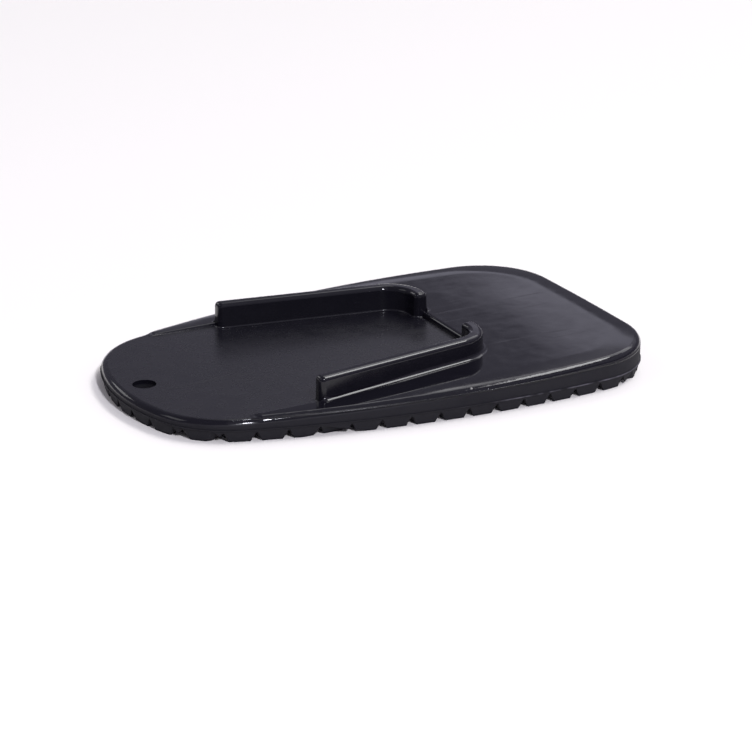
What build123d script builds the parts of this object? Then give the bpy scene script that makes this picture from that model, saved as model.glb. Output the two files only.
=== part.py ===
"""Foot pad that widens a motorbike's side stand, one moulding in hard black plastic.

Millimetres. X runs along the pad from the round nose to the wide end, Y across it, Z up.
The origin is on the ground under the middle of the pad.
"""
import math
import os

from build123d import *

# Plan outline at the parting line
length = 140.0
width = 89.6
widest_from_nose = 91.0
side_radius = 263.0
nose_radius = 60.0
nose_corner_radius = 24.0
end_radius = 950.0
wide_corner_radius = 22.0

# Plate with a thin ridge at its seam, and the raised top, which rises towards the wide end
parting_height = 3.3
lower_draft = 11.0
seam_ridge = 0.25
top_nose_height = 5.57
top_end_height = 9.48
rim_radius = 1.8

# Sunk floor: the nose, a short ramp behind it, and the pocket between the ribs
floor_nose_height = 5.47
floor_end_height = 7.29
ramp_from_nose = 22.5
ramp_length = 1.8
ramp_radius = 4.0
pocket_half_width = 32.0
wall_under_rib = 1.7
wall_head_radius = 1.2

# Ribs that hold the foot of the stand, each hooked inwards at the wide end
rib_from_nose = 41.6
rib_front_half = 33.6
rib_toe_in = 9.25
rib_width = 3.8
rib_height = 6.82
rib_draft = 1.5
rib_corner_radius = 11.0
hook_from_nose = 96.5
hook_end_half = 12.6
rib_end_radius = 1.25
rib_top_radius = 1.2
rib_foot_radius = 1.1
inner_foot_radius = 0.5

# Hole for the carrying cord
hole_from_nose = 7.5
hole_radius = 3.1

# Tread of crossed grooves under the pad
tread_pitch = 7.9
tread_shift = 0.3
groove_mouth = 2.9
groove_root = 0.4
groove_depth = 2.5

# Length by which a cutting shape passes the body, strip left beside a rounding,
# and slope up to which a face counts as level
spare = 3.0
strip = 0.25
steepest_level = 30.0

half_length = length / 2
half_width = width / 2
front_x = -half_length - spare
rear_x = half_length + spare
widest_x = widest_from_nose - half_length
ramp_foot_x = ramp_from_nose - half_length
ramp_head_x = ramp_foot_x + ramp_length
rib_front_x = rib_from_nose - half_length
hook_outer_x = hook_from_nose - half_length
hole_x = hole_from_nose - half_length
grooves_across = 2 * math.floor(half_length / tread_pitch) + 1
grooves_along = 2 * math.floor(half_width / tread_pitch) + 1


def sloping_plane(nose_height, end_height):
    """Plane over the middle of the pad that rises from the nose to the wide end."""
    rise = end_height - nose_height
    return Plane(
        origin=(0, 0, (nose_height + end_height) / 2),
        x_dir=(length, 0, rise),
        z_dir=(-rise, 0, length),
    )


def height_at(x, nose_height, end_height):
    """Height of a sloping plane at a distance x along the pad."""
    return nose_height + (end_height - nose_height) * (x + half_length) / length


def outline(grow):
    """Plan of the pad with every side moved out by a distance."""
    with BuildSketch() as shape:
        with Locations((nose_radius - half_length, 0)):
            Circle(nose_radius + grow)
        with Locations((nose_radius, 0)):
            Rectangle(length, 2 * nose_radius)
        with Locations((widest_x, half_width - side_radius)):
            Circle(side_radius + grow, mode=Mode.INTERSECT)
        with Locations((widest_x, side_radius - half_width)):
            Circle(side_radius + grow, mode=Mode.INTERSECT)
        with Locations((half_length - end_radius, 0)):
            Circle(end_radius + grow, mode=Mode.INTERSECT)
        fillet(shape.vertices().group_by(Axis.X)[0], nose_corner_radius + grow)
        fillet(shape.vertices().group_by(Axis.X)[-1], wide_corner_radius + grow)
    return shape.sketch


def hook_path(inset):
    """Front, corner and end of a line along a rib, at a distance inside its outer face."""
    toe_in = math.radians(rib_toe_in)
    corner_x = hook_outer_x - inset
    front_half = rib_front_half - inset / math.cos(toe_in)
    corner_half = front_half - math.tan(toe_in) * (corner_x - rib_front_x)
    return [(rib_front_x, front_half), (corner_x, corner_half), (corner_x, hook_end_half)]


def faces_up(face):
    """True for a face that looks up, level or sloping."""
    return face.normal_at().Z > math.cos(math.radians(steepest_level))


def faces_down(face):
    """True for a face that looks down, level or sloping."""
    return face.normal_at().Z < -math.cos(math.radians(steepest_level))


def at_rib_foot(edge):
    """True for an edge of the sunk floor along the foot of a rib."""
    return edge.center().X > rib_front_x - spare and abs(edge.center().Y) > hook_end_half / 2


seam_plane = Plane.XY.offset(parting_height)
floor_plane = sloping_plane(floor_nose_height, floor_end_height)
top_plane = sloping_plane(top_nose_height, top_end_height)
rib_plane = floor_plane.offset(rib_height)

# Plan of both ribs at their tops
with BuildSketch(rib_plane) as ribs:
    with BuildLine():
        outer_side = FilletPolyline(*hook_path(0), radius=rib_corner_radius)
        inner_side = FilletPolyline(*hook_path(rib_width), radius=rib_corner_radius - rib_width)
        Line(outer_side @ 0, inner_side @ 0)
        Line(outer_side @ 1, inner_side @ 1)
    make_face()
    fillet(ribs.vertices().group_by(Axis.X)[0], rib_end_radius)
    fillet(ribs.vertices().group_by(Axis.Y)[0], rib_end_radius)
    mirror(about=Plane.XZ)

# Plan of the pocket, whose wall runs on under the ribs
wall_corner = hook_path(wall_under_rib)[1]
with BuildSketch(floor_plane) as pocket_plan:
    with BuildLine():
        far_wall = FilletPolyline(
            (front_x, 0),
            (front_x, pocket_half_width),
            (rib_front_x + rib_width, pocket_half_width),
            wall_corner,
            (wall_corner[0], 0),
            radius=rib_corner_radius - wall_under_rib,
        )
        mirror(far_wall, about=Plane.XZ)
    make_face()

# Space over the sunk floor, with a rounded foot along the ribs
with BuildPart() as pocket:
    extrude(pocket_plan.sketch, amount=rib_height + spare)
    extrude(ribs.sketch, amount=-rib_height - spare, taper=-rib_draft, mode=Mode.SUBTRACT)
    fillet(pocket.faces().sort_by(Axis.Z)[0].edges().filter_by(at_rib_foot), inner_foot_radius)

# Space over the rounded head of the pocket's wall
with BuildPart() as wall_head:
    extrude(pocket_plan.sketch, amount=-spare)
    extrude(pocket_plan.sketch, amount=rib_height)
    with BuildSketch(top_plane):
        add(pocket_plan.sketch_local)
        offset(amount=wall_head_radius + strip)
    extrude(amount=rib_height)
    ledge = wall_head.faces().filter_by(faces_down).sort_by(Axis.Z)[-1]
    fillet(ledge.inner_wires().edges(), wall_head_radius)
    extrude(pocket_plan.sketch, amount=-2 * spare, mode=Mode.SUBTRACT)
    extrude(pocket_plan.sketch, amount=2 * rib_height, mode=Mode.SUBTRACT)
    split(bisect_by=floor_plane, keep=Keep.TOP)
    extrude(ribs.sketch, amount=-rib_height - spare, taper=-rib_draft, mode=Mode.SUBTRACT)

with BuildPart() as pad:
    # Plate with draft below the parting line
    with BuildSketch(seam_plane) as plan:
        add(outline(0))
    extrude(amount=-parting_height)
    draft(pad.faces().filter_by(Axis.Z, reverse=True), seam_plane, -lower_draft)
    extrude(plan.sketch, amount=top_end_height + spare - parting_height)

    # Upper face in side view: the low nose, a short ramp and the rising top
    with BuildSketch(Plane.XZ.offset(-width)):
        with BuildLine():
            upper_line = FilletPolyline(
                (front_x, height_at(front_x, floor_nose_height, floor_end_height)),
                (ramp_foot_x, height_at(ramp_foot_x, floor_nose_height, floor_end_height)),
                (ramp_head_x, height_at(ramp_head_x, top_nose_height, top_end_height)),
                (rear_x, height_at(rear_x, top_nose_height, top_end_height)),
                radius=ramp_radius,
            )
            sky = top_end_height + 2 * spare
            Polyline(upper_line @ 0, (front_x, sky), (rear_x, sky), upper_line @ 1)
        make_face()
    extrude(amount=2 * width, mode=Mode.SUBTRACT)

    # Rounded rim round the whole upper face
    fillet(pad.faces().filter_by(faces_up).edges().filter_by(Axis.Y, reverse=True), rim_radius)

    # Thin ridge where the halves of the mould met
    with BuildSketch(seam_plane):
        add(outline(seam_ridge))
    extrude(amount=-seam_ridge)

    # Ribs, rounded at foot and top, and the pocket between them
    extrude(ribs.sketch, amount=-rib_height, taper=-rib_draft)
    fillet(pad.edges(Select.NEW), rib_foot_radius)
    fillet(pad.faces().group_by(Axis.Z)[-1].edges(), rib_top_radius)
    add(pocket.part, mode=Mode.SUBTRACT)
    add(wall_head.part, mode=Mode.SUBTRACT)

    # Cord hole
    with BuildSketch():
        with Locations((hole_x, 0)):
            Circle(hole_radius)
    extrude(amount=top_end_height, mode=Mode.SUBTRACT)

    # Crossed tread grooves
    groove = [
        (-groove_mouth / 2, 0),
        (groove_mouth / 2, 0),
        (groove_root / 2, groove_depth),
        (-groove_root / 2, groove_depth),
    ]
    with BuildSketch(Plane.XZ.offset(-width)):
        with Locations((tread_shift, 0)):
            with GridLocations(tread_pitch, 0, grooves_across, 1):
                Polygon(*groove, align=None)
    extrude(amount=2 * width, mode=Mode.SUBTRACT)
    with BuildSketch(Plane.YZ.offset(-length)):
        with GridLocations(tread_pitch, 0, grooves_along, 1):
            Polygon(*groove, align=None)
    extrude(amount=2 * length, mode=Mode.SUBTRACT)

pad.part.label = "stand_pad"
os.makedirs("parts", exist_ok=True)
export_step(pad.part, "parts/stand_pad.step")
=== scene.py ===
"""Black moulded foot pad for a motorbike's side stand, on a white studio floor.

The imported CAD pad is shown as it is. This script gives it its plastic, lights it softly
and sets the camera at the photograph's viewing angle. Lengths in metres unless named _mm.
"""

import logging
import math
from dataclasses import dataclass, field
from enum import Enum

import bpy
from mathutils import Matrix, Vector

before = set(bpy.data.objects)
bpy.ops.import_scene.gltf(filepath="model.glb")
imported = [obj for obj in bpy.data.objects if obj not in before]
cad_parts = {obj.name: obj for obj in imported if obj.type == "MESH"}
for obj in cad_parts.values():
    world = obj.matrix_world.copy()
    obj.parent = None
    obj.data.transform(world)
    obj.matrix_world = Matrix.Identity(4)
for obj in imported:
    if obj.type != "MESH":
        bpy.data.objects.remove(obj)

LOG = logging.getLogger("stand_pad")
MILLIMETRE = 0.001


def linear(hex_colour: str) -> tuple[float, float, float, float]:
    """Turn an sRGB hex colour into a linear one.

    Args:
        hex_colour: Six hex digits, with or without a leading hash sign.

    Returns:
        Red, green, blue and an alpha of one.
    """
    digits = hex_colour.lstrip("#")
    parts = [int(digits[place:place + 2], 16) / 255.0 for place in (0, 2, 4)]
    lin = [part / 12.92 if part <= 0.04045 else ((part + 0.055) / 1.055) ** 2.4 for part in parts]
    return lin[0], lin[1], lin[2], 1.0


def add_node(
    tree: bpy.types.NodeTree, kind: str, inputs: dict | None = None, **settings: object
) -> bpy.types.Node:
    """Add a node with its settings, values and links.

    Args:
        tree: Node tree that takes the node.
        kind: Blender's name of the node type.
        inputs: Socket name or number to a value, or to another node's output socket.
        settings: Properties of the node itself.

    Returns:
        The new node.
    """
    node = tree.nodes.new(kind)
    for name, value in settings.items():
        setattr(node, name, value)
    for name, value in (inputs or {}).items():
        if isinstance(value, bpy.types.NodeSocket):
            tree.links.new(value, node.inputs[name])
        else:
            node.inputs[name].default_value = value
    return node


def towards(azimuth: float, elevation: float) -> Vector:
    """Unit vector from the pad to a place in the studio.

    Args:
        azimuth: Degrees; 0 is towards -Y, 90 towards the wide end.
        elevation: Degrees above the floor.

    Returns:
        The direction as a unit vector.
    """
    turn = math.radians(azimuth)
    lift = math.radians(elevation)
    return Vector((math.sin(turn) * math.cos(lift), -math.cos(turn) * math.cos(lift), math.sin(lift)))


class Surface(Enum):
    """Sloping upper faces of the moulding, which the tool finished differently."""

    FLOOR = "sunk floor"
    TOP = "raised top"


@dataclass(frozen=True)
class SlopingFace:
    """One of the pad's two sloping upper faces, as heights over its ends."""

    nose_mm: float
    end_mm: float
    half_length_mm: float = 70.0

    def slope(self) -> float:
        """Rise over run towards the wide end."""
        return (self.end_mm - self.nose_mm) / (2.0 * self.half_length_mm)

    def middle(self) -> float:
        """Height over the pad's middle, in metres."""
        return (self.nose_mm + self.end_mm) / 2.0 * MILLIMETRE


FACES = {
    Surface.FLOOR: SlopingFace(nose_mm=5.47, end_mm=7.29),
    Surface.TOP: SlopingFace(nose_mm=5.57, end_mm=9.48),
}


@dataclass(frozen=True)
class TopPlan:
    """Circles that the sides and the wide end follow in plan, and the round between them."""

    side_radius_mm: float = 263.0
    side_centre_mm: tuple[float, float, float] = (21.0, -218.2, 0.0)
    end_radius_mm: float = 950.0
    end_centre_mm: tuple[float, float, float] = (-880.0, 0.0, 0.0)
    corner_mm: float = 22.0


@dataclass(frozen=True)
class MouldedPlastic:
    """Black polypropylene, injection moulded: polished tool above, fine matt on the floor and the walls.

    A deep blue-black body under a clear skin, so the eye sees mostly reflections: sharp and a little
    wavy on the ribs and the raised top, blurred to an even grey on the sunk floor and the walls.
    A painted highlight shows pale, in broken lengths, along the seam's flash ridge. Pairs of values are
    where a mask starts and where it ends.
    """

    name: str = "moulded_black_polypropylene"
    body: str = "100F16"
    body_pale: str = "15141B"
    # Pale colour of the painted highlight along the seam's flash ridge.
    seam_highlight: str = "55535B"
    dust: str = "8C8A90"
    # Solid polypropylene has 1.49; the moulded skin mirrors a little less.
    ior: float = 1.41
    polished: float = 0.07
    satin: float = 0.2
    floor_matt: float = 0.27
    wall_matt: float = 0.8
    scuffed: float = 0.08
    unevenness: float = 0.03
    # Where each finish ends: height off the sunk floor, height over the raised top
    # and upward part of the normal.
    floor_limit_mm: tuple[float, float] = (0.08, 0.25)
    wall_limit_mm: tuple[float, float] = (-1.7, -1.1)
    upright_limit: tuple[float, float] = (0.1, 0.3)
    wave_mm: float = 30.0
    wave_height_mm: float = 0.07
    ripple_mm: float = 7.0
    ripple_height_mm: float = 0.010
    mottle_mm: float = 4.0
    mottle_limit: tuple[float, float] = (0.3, 0.7)
    # The plate's edge sank a little as it cooled, in a band this wide.
    sink_mm: float = 8.0
    sink_depth_mm: float = 0.4
    plan: TopPlan = TopPlan()
    # Real tool grain is near 0.05 mm; drawn coarser so that it shows at this size.
    grain_mm: float = 0.35
    grain_height_mm: float = 0.0008
    # Real scratches are near 0.02 mm wide; drawn coarser so that they show at this size.
    scratch_mm: float = 1.6
    scratch_length_mm: float = 45.0
    scratch_depth_mm: float = 9.0
    scratch_turn: float = 24.0
    scratch_limit: tuple[float, float] = (0.70, 0.78)
    scuff_patch_mm: float = 16.0
    scuff_patch_limit: tuple[float, float] = (0.5, 0.62)
    # Painted highlight on the seam's flash ridge: height over the ground, half its width, length of a
    # break in it and stretch along the pad.
    seam_mm: float = 3.175
    seam_highlight_half_mm: float = 0.14
    seam_highlight_break_mm: float = 5.0
    seam_highlight_break_limit: tuple[float, float] = (0.4, 0.6)
    seam_highlight_span_mm: tuple[float, float] = (2.0, 26.0)
    # Real dust is near 0.05 mm; drawn coarser so that it shows at this size.
    dust_mm: float = 0.16
    dust_spacing_mm: float = 5.9
    dust_choice: tuple[float, float] = (0.55, 0.95)
    dust_strength: float = 0.8
    dust_facing: tuple[float, float] = (0.95, 0.99)

    def build(self) -> bpy.types.Material:
        """Make the material.

        Returns:
            The node material.
        """
        material = bpy.data.materials.new(self.name)
        material.use_nodes = True
        tree = material.node_tree
        tree.nodes.clear()
        place = add_node(tree, "ShaderNodeTexCoord").outputs["Object"]
        floor, wall, upright = self.zones(tree, place)
        mottle = add_node(tree, "ShaderNodeTexNoise", {
            "Vector": place, "Scale": 1.0 / (self.mottle_mm * MILLIMETRE), "Detail": 4.0,
        }).outputs["Fac"]
        scuffs = self.scuffs(tree, place)
        specks = self.dust_mask(tree, place)

        gloss = add_node(tree, "ShaderNodeMix", {0: upright, 2: self.polished, 3: self.satin}).outputs[0]
        gloss = add_node(tree, "ShaderNodeMix", {0: wall, 2: gloss, 3: self.wall_matt}).outputs[0]
        gloss = add_node(tree, "ShaderNodeMix", {0: floor, 2: gloss, 3: self.floor_matt}).outputs[0]
        gloss = add_node(tree, "ShaderNodeMath", {
            0: scuffs, 1: self.scuffed, 2: gloss,
        }, operation="MULTIPLY_ADD").outputs[0]
        uneven = add_node(tree, "ShaderNodeMapRange", {
            "Value": mottle, "From Min": self.mottle_limit[0], "From Max": self.mottle_limit[1],
            "To Min": -self.unevenness, "To Max": self.unevenness,
        }).outputs["Result"]
        gloss = add_node(tree, "ShaderNodeMath", {
            0: gloss, 1: uneven,
        }, operation="ADD", use_clamp=True).outputs[0]

        tint = add_node(tree, "ShaderNodeMix", {
            0: mottle, 6: linear(self.body), 7: linear(self.body_pale),
        }, data_type="RGBA").outputs[2]
        # Paint the highlight along the seam's flash ridge.
        tint = add_node(tree, "ShaderNodeMix", {
            0: self.seam_highlight_mask(tree, place), 6: tint, 7: linear(self.seam_highlight),
        }, data_type="RGBA").outputs[2]
        tint = add_node(tree, "ShaderNodeMix", {
            0: specks, 6: tint, 7: linear(self.dust),
        }, data_type="RGBA").outputs[2]
        shader = add_node(tree, "ShaderNodeBsdfPrincipled", {
            "Base Color": tint, "Roughness": gloss, "IOR": self.ior,
            "Normal": self.relief(tree, place, floor),
        })
        add_node(tree, "ShaderNodeOutputMaterial", {"Surface": shader.outputs[0]})
        return material

    def zones(
        self, tree: bpy.types.NodeTree, place: bpy.types.NodeSocket
    ) -> tuple[bpy.types.NodeSocket, bpy.types.NodeSocket, bpy.types.NodeSocket]:
        """Masks of the faces that the tool's finish differs on.

        Args:
            tree: Node tree that takes the nodes.
            place: Object coordinates.

        Returns:
            The sunk floor's mask, the outer walls' mask and the upright faces' mask.
        """
        off_floor = add_node(tree, "ShaderNodeMath", {
            0: self.height_over(tree, place, FACES[Surface.FLOOR]),
        }, operation="ABSOLUTE").outputs[0]
        floor = add_node(tree, "ShaderNodeMapRange", {
            "Value": off_floor, "From Min": self.floor_limit_mm[0] * MILLIMETRE,
            "From Max": self.floor_limit_mm[1] * MILLIMETRE, "To Min": 1.0, "To Max": 0.0,
        }).outputs["Result"]
        wall = add_node(tree, "ShaderNodeMapRange", {
            "Value": self.height_over(tree, place, FACES[Surface.TOP]),
            "From Min": self.wall_limit_mm[0] * MILLIMETRE,
            "From Max": self.wall_limit_mm[1] * MILLIMETRE, "To Min": 1.0, "To Max": 0.0,
        }).outputs["Result"]
        facing = add_node(tree, "ShaderNodeNewGeometry").outputs["Normal"]
        facing = add_node(tree, "ShaderNodeSeparateXYZ", {0: facing}).outputs["Z"]
        upright = add_node(tree, "ShaderNodeMapRange", {
            "Value": facing, "From Min": self.upright_limit[0], "From Max": self.upright_limit[1],
            "To Min": 1.0, "To Max": 0.0,
        }).outputs["Result"]
        return floor, wall, upright

    def relief(
        self, tree: bpy.types.NodeTree, place: bpy.types.NodeSocket, floor: bpy.types.NodeSocket
    ) -> bpy.types.NodeSocket:
        """Sunk edge, slow waves and ripples of cooling plastic, and the floor's fine grain.

        Args:
            tree: Node tree that takes the nodes.
            place: Object coordinates.
            floor: Mask of the sunk floor.

        Returns:
            The normal's socket.
        """
        normal = add_node(tree, "ShaderNodeBump", {
            "Distance": 1.0, "Height": self.sunk_edge(tree, place, floor),
        }).outputs["Normal"]
        layers = (
            (self.wave_mm, self.wave_height_mm, 1.0, 1.0),
            (self.ripple_mm, self.ripple_height_mm, 2.0, 1.0),
            (self.grain_mm, self.grain_height_mm, 3.0, floor),
        )
        for size_mm, height_mm, detail, strength in layers:
            bumps = add_node(tree, "ShaderNodeTexNoise", {
                "Vector": place, "Scale": 1.0 / (size_mm * MILLIMETRE), "Detail": detail,
            }).outputs["Fac"]
            normal = add_node(tree, "ShaderNodeBump", {
                "Strength": strength, "Distance": height_mm * MILLIMETRE,
                "Height": bumps, "Normal": normal,
            }).outputs["Normal"]
        return normal

    def sunk_edge(
        self, tree: bpy.types.NodeTree, place: bpy.types.NodeSocket, floor: bpy.types.NodeSocket
    ) -> bpy.types.NodeSocket:
        """Height that the raised top loses towards its rim, in metres.

        Args:
            tree: Node tree that takes the nodes.
            place: Object coordinates.
            floor: Mask of the sunk floor, which stays level.

        Returns:
            The height's socket.
        """
        plan = self.plan
        axes = add_node(tree, "ShaderNodeSeparateXYZ", {0: place}).outputs
        across = add_node(tree, "ShaderNodeMath", {0: axes["Y"]}, operation="ABSOLUTE").outputs[0]
        spot = add_node(tree, "ShaderNodeCombineXYZ", {"X": axes["X"], "Y": across}).outputs[0]
        from_side = add_node(tree, "ShaderNodeVectorMath", {
            0: spot, 1: Vector(plan.side_centre_mm) * MILLIMETRE,
        }, operation="DISTANCE").outputs["Value"]
        from_end = add_node(tree, "ShaderNodeVectorMath", {
            0: spot, 1: Vector(plan.end_centre_mm) * MILLIMETRE,
        }, operation="DISTANCE").outputs["Value"]
        reach = add_node(tree, "ShaderNodeCombineXYZ", {"X": from_side, "Y": from_end}).outputs[0]
        level = Vector((plan.side_radius_mm - plan.corner_mm, plan.end_radius_mm - plan.corner_mm, 0.0))
        past = add_node(tree, "ShaderNodeVectorMath", {
            0: reach, 1: level * MILLIMETRE,
        }, operation="SUBTRACT").outputs[0]
        past = add_node(tree, "ShaderNodeVectorMath", {
            0: past, 1: (0.0, 0.0, 0.0),
        }, operation="MAXIMUM").outputs[0]
        out = add_node(tree, "ShaderNodeVectorMath", {0: past}, operation="LENGTH").outputs["Value"]
        band = add_node(tree, "ShaderNodeMapRange", {
            "Value": out, "From Min": (plan.corner_mm - self.sink_mm) * MILLIMETRE,
            "From Max": plan.corner_mm * MILLIMETRE,
        }).outputs["Result"]
        curve = add_node(tree, "ShaderNodeMath", {0: band, 1: 2.0}, operation="POWER").outputs[0]
        deep = add_node(tree, "ShaderNodeMix", {
            0: floor, 2: -self.sink_depth_mm * MILLIMETRE, 3: 0.0,
        }).outputs[0]
        return add_node(tree, "ShaderNodeMath", {0: curve, 1: deep}, operation="MULTIPLY").outputs[0]

    def scuffs(self, tree: bpy.types.NodeTree, place: bpy.types.NodeSocket) -> bpy.types.NodeSocket:
        """Mask of a few long faint scratches along the pad.

        Args:
            tree: Node tree that takes the nodes.
            place: Object coordinates.

        Returns:
            The mask's socket.
        """
        sizes_mm = (self.scratch_length_mm, self.scratch_mm, self.scratch_depth_mm)
        along = add_node(tree, "ShaderNodeMapping", {
            "Vector": place, "Rotation": (0.0, 0.0, math.radians(self.scratch_turn)),
            "Scale": [1.0 / (size * MILLIMETRE) for size in sizes_mm],
        }).outputs[0]
        lines = add_node(tree, "ShaderNodeTexNoise", {
            "Vector": along, "Scale": 1.0, "Detail": 0.0,
        }).outputs["Fac"]
        lines = add_node(tree, "ShaderNodeMapRange", {
            "Value": lines, "From Min": self.scratch_limit[0], "From Max": self.scratch_limit[1],
        }).outputs["Result"]
        patches = add_node(tree, "ShaderNodeTexNoise", {
            "Vector": place, "Scale": 1.0 / (self.scuff_patch_mm * MILLIMETRE), "Detail": 1.0,
        }).outputs["Fac"]
        patches = add_node(tree, "ShaderNodeMapRange", {
            "Value": patches, "From Min": self.scuff_patch_limit[0],
            "From Max": self.scuff_patch_limit[1],
        }).outputs["Result"]
        return add_node(tree, "ShaderNodeMath", {0: lines, 1: patches}, operation="MULTIPLY").outputs[0]

    def seam_highlight_mask(self, tree: bpy.types.NodeTree, place: bpy.types.NodeSocket) -> bpy.types.NodeSocket:
        """Mask of the painted highlight on the seam's flash ridge, in broken lengths, clearest towards
        the wide end.

        Args:
            tree: Node tree that takes the nodes.
            place: Object coordinates.

        Returns:
            The mask's socket.
        """
        axes = add_node(tree, "ShaderNodeSeparateXYZ", {0: place}).outputs
        ridge = add_node(tree, "ShaderNodeMath", {
            0: axes["Z"], 1: self.seam_mm * MILLIMETRE, 2: self.seam_highlight_half_mm * MILLIMETRE,
        }, operation="COMPARE").outputs[0]
        highlight_pieces = add_node(tree, "ShaderNodeTexNoise", {
            "Vector": place, "Scale": 1.0 / (self.seam_highlight_break_mm * MILLIMETRE), "Detail": 3.0,
        }).outputs["Fac"]
        highlight_pieces = add_node(tree, "ShaderNodeMapRange", {
            "Value": highlight_pieces, "From Min": self.seam_highlight_break_limit[0], "From Max": self.seam_highlight_break_limit[1],
        }).outputs["Result"]
        near_end = add_node(tree, "ShaderNodeMapRange", {
            "Value": axes["X"], "From Min": self.seam_highlight_span_mm[0] * MILLIMETRE,
            "From Max": self.seam_highlight_span_mm[1] * MILLIMETRE,
        }).outputs["Result"]
        highlight_pieces = add_node(tree, "ShaderNodeMath", {0: highlight_pieces, 1: near_end}, operation="MULTIPLY").outputs[0]
        return add_node(tree, "ShaderNodeMath", {0: ridge, 1: highlight_pieces}, operation="MULTIPLY").outputs[0]

    def dust_mask(self, tree: bpy.types.NodeTree, place: bpy.types.NodeSocket) -> bpy.types.NodeSocket:
        """Scattered specks of dust on the faces that look up.

        Args:
            tree: Node tree that takes the nodes.
            place: Object coordinates.

        Returns:
            The mask's socket.
        """
        cells = add_node(tree, "ShaderNodeTexVoronoi", {
            "Vector": place, "Scale": 1.0 / (self.dust_spacing_mm * MILLIMETRE),
        })
        size = self.dust_mm / self.dust_spacing_mm
        speck = add_node(tree, "ShaderNodeMapRange", {
            "Value": cells.outputs["Distance"], "From Min": size / 2.0, "From Max": size,
            "To Min": 1.0, "To Max": 0.0,
        }).outputs["Result"]
        chosen = add_node(tree, "ShaderNodeSeparateColor", {0: cells.outputs["Color"]}).outputs[0]
        chosen = add_node(tree, "ShaderNodeMapRange", {
            "Value": chosen, "From Min": self.dust_choice[0], "From Max": self.dust_choice[1],
            "To Max": self.dust_strength,
        }).outputs["Result"]
        facing = add_node(tree, "ShaderNodeNewGeometry").outputs["Normal"]
        facing = add_node(tree, "ShaderNodeSeparateXYZ", {0: facing}).outputs["Z"]
        facing = add_node(tree, "ShaderNodeMapRange", {
            "Value": facing, "From Min": self.dust_facing[0], "From Max": self.dust_facing[1],
        }).outputs["Result"]
        shown = add_node(tree, "ShaderNodeMath", {0: speck, 1: chosen}, operation="MULTIPLY").outputs[0]
        return add_node(tree, "ShaderNodeMath", {0: shown, 1: facing}, operation="MULTIPLY").outputs[0]

    def height_over(
        self, tree: bpy.types.NodeTree, place: bpy.types.NodeSocket, face: SlopingFace
    ) -> bpy.types.NodeSocket:
        """Height over a sloping face, in metres.

        Args:
            tree: Node tree that takes the nodes.
            place: Object coordinates.
            face: The sloping face.

        Returns:
            The height's socket.
        """
        axes = add_node(tree, "ShaderNodeSeparateXYZ", {0: place}).outputs
        below = add_node(tree, "ShaderNodeMath", {
            0: axes["X"], 1: -face.slope(), 2: -face.middle(),
        }, operation="MULTIPLY_ADD").outputs[0]
        return add_node(tree, "ShaderNodeMath", {0: axes["Z"], 1: below}, operation="ADD").outputs[0]


@dataclass
class StandPad:
    """The pad itself: the CAD node with its plastic."""

    node: str = "stand_pad"
    plastic: MouldedPlastic = field(default_factory=MouldedPlastic)

    def dress(self) -> bpy.types.Object:
        """Give the CAD node its plastic.

        Returns:
            The pad's object.
        """
        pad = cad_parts[self.node]
        material = self.plastic.build()
        pad.data.materials.clear()
        pad.data.materials.append(material)
        return pad


@dataclass(frozen=True)
class Lamp:
    """A rectangular soft lamp aimed at the pad."""

    name: str
    azimuth: float
    elevation: float
    distance: float
    width: float
    height: float
    watts: float
    colour: str = "FFFFFF"

    def hang(self) -> bpy.types.Object:
        """Put the lamp in the studio.

        Returns:
            The lamp's object.
        """
        data = bpy.data.lights.new(self.name, "AREA")
        data.shape = "RECTANGLE"
        data.size = self.width
        data.size_y = self.height
        data.energy = self.watts
        data.color = linear(self.colour)[:3]
        lamp = bpy.data.objects.new(self.name, data)
        way = towards(self.azimuth, self.elevation)
        lamp.location = way * self.distance
        lamp.rotation_euler = way.to_track_quat("Z", "Y").to_euler()
        bpy.context.scene.collection.objects.link(lamp)
        return lamp


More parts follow.
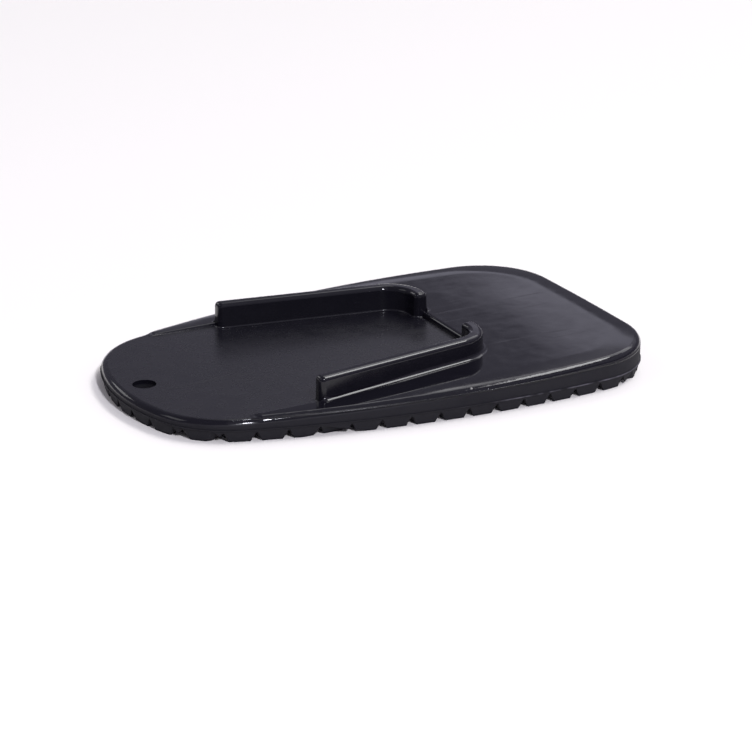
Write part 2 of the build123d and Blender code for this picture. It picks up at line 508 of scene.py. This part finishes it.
@dataclass
class Studio:
    """White floor, soft lamps and a grey room with a pale slanting panel and a window."""

    floor_half: float = 6.0
    # The paper lies this far under the tread, and is clear to rays that start this near it.
    floor_gap: float = 0.00005
    floor_clear: float = 0.0005
    paper: str = "FFFCF7"
    room: str = "7A7884"
    window: str = "B0AEBB"
    # Azimuths and elevations, in degrees, between which the window fades in.
    window_edge: tuple[float, float] = (150.5, 146.5)
    window_sill: tuple[float, float] = (19.5, 22.5)
    panel: str = "D8D6E8"
    panel_azimuth: float = 85.0
    panel_elevation: float = 42.0
    # Sines of the angles, off the panel's slanting plane, between which its head and foot fade.
    panel_fade: tuple[float, float] = (-0.010, 0.010)
    panel_foot: tuple[float, float] = (-0.055, -0.040)
    lamps: tuple[Lamp, ...] = (
        Lamp("strip_softbox", 82.8, 58.1, 2.4, 1.4, 0.46, 21.0),
        Lamp("back_softbox", 131.0, 45.0, 2.8, 1.75, 1.4, 11.5),
        Lamp("left_softbox", 255.0, 40.0, 2.8, 1.4, 0.8, 5.0),
        Lamp("far_softbox", 200.0, 25.0, 2.8, 1.0, 0.45, 2.5),
        Lamp("front_lamp", -5.0, 41.0, 1.8, 0.17, 0.17, 18.0, "F4F4FF"),
    )

    def build(self) -> bpy.types.Object:
        """Lay the floor, hang the lamps and set the world.

        Returns:
            The floor's object.
        """
        self.light_world()
        for lamp in self.lamps:
            lamp.hang()
        return self.lay_floor()

    def lay_floor(self) -> bpy.types.Object:
        """Lay the white floor, which shows the tread when seen from below.

        Returns:
            The floor's object.
        """
        half = self.floor_half
        low = -self.floor_gap
        corners = [(-half, -half, low), (half, -half, low), (half, half, low), (-half, half, low)]
        mesh = bpy.data.meshes.new("studio_floor")
        mesh.from_pydata(corners, [], [(0, 1, 2, 3)])
        floor = bpy.data.objects.new("studio_floor", mesh)
        bpy.context.scene.collection.objects.link(floor)
        material = bpy.data.materials.new("white_studio_paper")
        material.use_nodes = True
        tree = material.node_tree
        tree.nodes.clear()
        paper = add_node(tree, "ShaderNodeBsdfDiffuse", {"Color": linear(self.paper)})
        clear = add_node(tree, "ShaderNodeBsdfTransparent")
        below = add_node(tree, "ShaderNodeNewGeometry").outputs["Backfacing"]
        ray = add_node(tree, "ShaderNodeLightPath").outputs["Ray Length"]
        touching = add_node(tree, "ShaderNodeMath", {
            0: ray, 1: self.floor_clear,
        }, operation="LESS_THAN").outputs[0]
        unseen = add_node(tree, "ShaderNodeMath", {
            0: below, 1: touching,
        }, operation="MAXIMUM").outputs[0]
        sheet = add_node(tree, "ShaderNodeMixShader", {
            0: unseen, 1: paper.outputs[0], 2: clear.outputs[0],
        })
        add_node(tree, "ShaderNodeOutputMaterial", {"Surface": sheet.outputs[0]})
        mesh.materials.append(material)
        return floor

    def light_world(self) -> None:
        """Set the world: a grey room with a window and a pale slanting panel, soft at its head."""
        world = bpy.data.worlds.new("studio_room")
        bpy.context.scene.world = world
        world.use_nodes = True
        tree = world.node_tree
        tree.nodes.clear()
        way = add_node(tree, "ShaderNodeTexCoord").outputs["Generated"]
        above = towards(self.panel_azimuth + 180.0, 90.0 - self.panel_elevation)
        over = add_node(tree, "ShaderNodeVectorMath", {
            0: way, 1: above,
        }, operation="DOT_PRODUCT").outputs["Value"]
        head = add_node(tree, "ShaderNodeMapRange", {
            "Value": over, "From Min": self.panel_fade[0], "From Max": self.panel_fade[1],
            "To Min": 1.0, "To Max": 0.0,
        }, interpolation_type="SMOOTHSTEP").outputs["Result"]
        foot = add_node(tree, "ShaderNodeMapRange", {
            "Value": over, "From Min": self.panel_foot[0], "From Max": self.panel_foot[1],
        }, interpolation_type="SMOOTHSTEP").outputs["Result"]
        panel = add_node(tree, "ShaderNodeMath", {0: head, 1: foot}, operation="MULTIPLY").outputs[0]
        beside = towards(self.window_edge[0] - 90.0, 0.0)
        beside = add_node(tree, "ShaderNodeVectorMath", {
            0: way, 1: beside,
        }, operation="DOT_PRODUCT").outputs["Value"]
        fade = math.sin(math.radians(self.window_edge[0] - self.window_edge[1]))
        beside = add_node(tree, "ShaderNodeMapRange", {
            "Value": beside, "From Max": fade,
        }, interpolation_type="SMOOTHSTEP").outputs["Result"]
        sill = [math.sin(math.radians(angle)) for angle in self.window_sill]
        rise = add_node(tree, "ShaderNodeMapRange", {
            "Value": add_node(tree, "ShaderNodeSeparateXYZ", {0: way}).outputs["Z"],
            "From Min": sill[0], "From Max": sill[1],
        }, interpolation_type="SMOOTHSTEP").outputs["Result"]
        window = add_node(tree, "ShaderNodeMath", {0: beside, 1: rise}, operation="MULTIPLY").outputs[0]
        colour = add_node(tree, "ShaderNodeMix", {
            0: window, 6: linear(self.room), 7: linear(self.window),
        }, data_type="RGBA").outputs[2]
        colour = add_node(tree, "ShaderNodeMix", {
            0: panel, 6: colour, 7: linear(self.panel),
        }, data_type="RGBA").outputs[2]
        light = add_node(tree, "ShaderNodeBackground", {"Color": colour, "Strength": 1.0})
        add_node(tree, "ShaderNodeOutputWorld", {"Surface": light.outputs[0]})


@dataclass(frozen=True)
class PhotoCamera:
    """Camera at the photograph's viewing angle, fitted to the pad's outline."""

    azimuth: float = -27.273
    elevation: float = 20.477
    roll: float = 0.537
    distance_mm: float = 663.643
    target_mm: tuple[float, float, float] = (-5.377, -18.501, 5.0)
    lens_mm: float = 122.45
    sensor_mm: float = 36.0
    near_mm: float = 10.0

    def place(self) -> bpy.types.Object:
        """Create the camera and make it the scene's own.

        Returns:
            The camera's object.
        """
        data = bpy.data.cameras.new("photo_camera")
        data.lens = self.lens_mm
        data.sensor_width = self.sensor_mm
        data.clip_start = self.near_mm * MILLIMETRE
        back = towards(self.azimuth, self.elevation)
        level = Vector((0, 0, 1)).cross(back).normalized()
        upright = back.cross(level)
        turn = math.radians(self.roll)
        right = level * math.cos(turn) + upright * math.sin(turn)
        top = upright * math.cos(turn) - level * math.sin(turn)
        eye = (Vector(self.target_mm) + back * self.distance_mm) * MILLIMETRE
        camera = bpy.data.objects.new("photo_camera", data)
        camera.matrix_world = Matrix((right, top, back)).transposed().to_4x4()
        camera.matrix_world.translation = eye
        bpy.context.scene.collection.objects.link(camera)
        bpy.context.scene.camera = camera
        return camera


def main() -> None:
    """Build the scene and report each piece."""
    logging.basicConfig(level=logging.INFO, format="%(name)s: %(message)s")
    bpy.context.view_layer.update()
    bpy.context.scene.view_settings.view_transform = "Standard"
    LOG.info("pad: %s", StandPad().dress().name)
    LOG.info("floor: %s", Studio().build().name)
    LOG.info("camera: %s", PhotoCamera().place().name)


if __name__ == "__main__":
    main()
